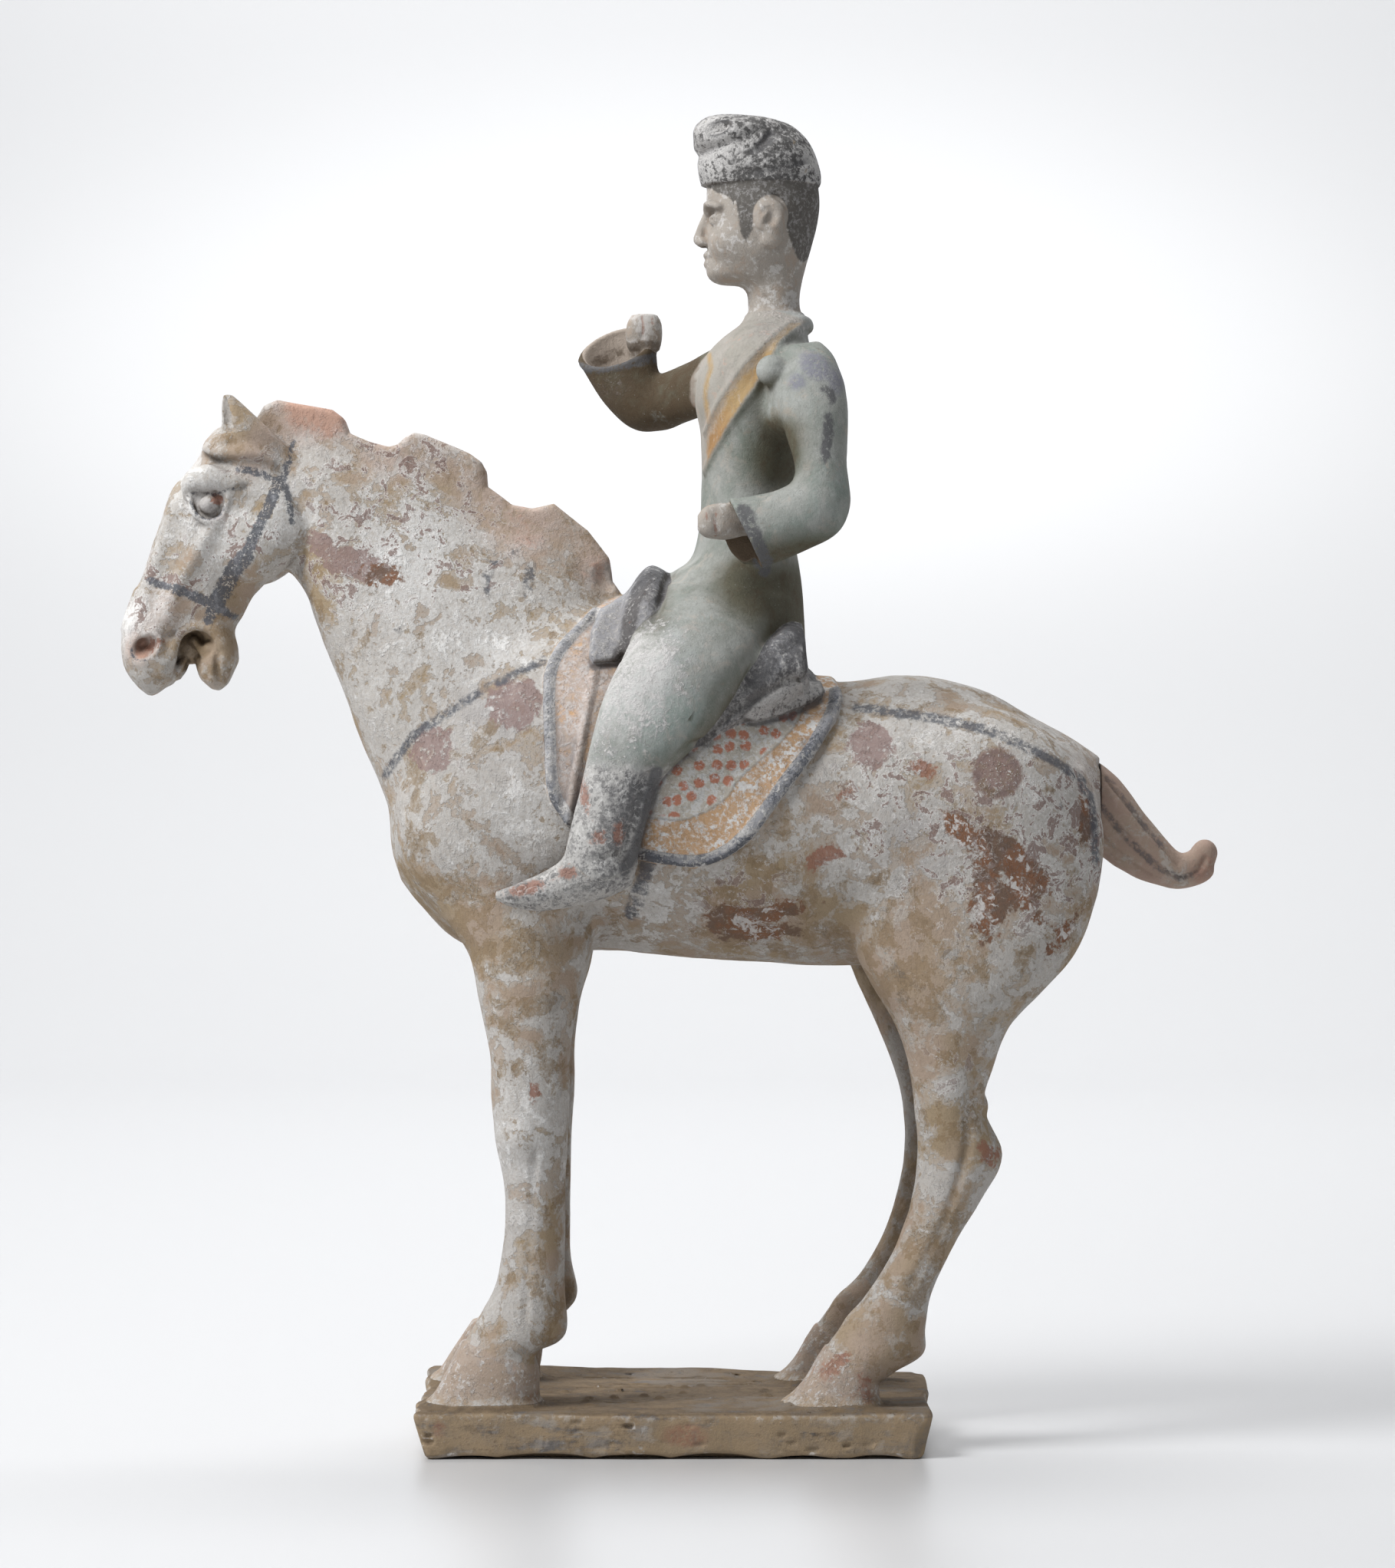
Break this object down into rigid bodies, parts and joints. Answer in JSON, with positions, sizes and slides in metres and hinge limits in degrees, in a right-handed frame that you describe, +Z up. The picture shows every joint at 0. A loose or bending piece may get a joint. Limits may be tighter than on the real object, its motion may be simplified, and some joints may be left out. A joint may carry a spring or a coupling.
{
  "type": "terracotta equestrian figure",
  "caption": "Painted pottery horse standing on a thin slab, with a rider in a long robe and cap seated on a saddle and cloth, one arm raised.",
  "frame": {"origin": "centre of the slab's flat underside", "axes": "+Z up; the horse faces -X; +Y towards the rider's raised right arm"},
  "size_m": [0.3306, 0.118, 0.399],
  "materials": {
    "painted_pottery": "matte",
    "tail_pottery": "matte"
  },
  "bodies": {
    "root": {"horse_and_rider": "painted_pottery", "tail": "tail_pottery"}
  },
  "joints": []
}
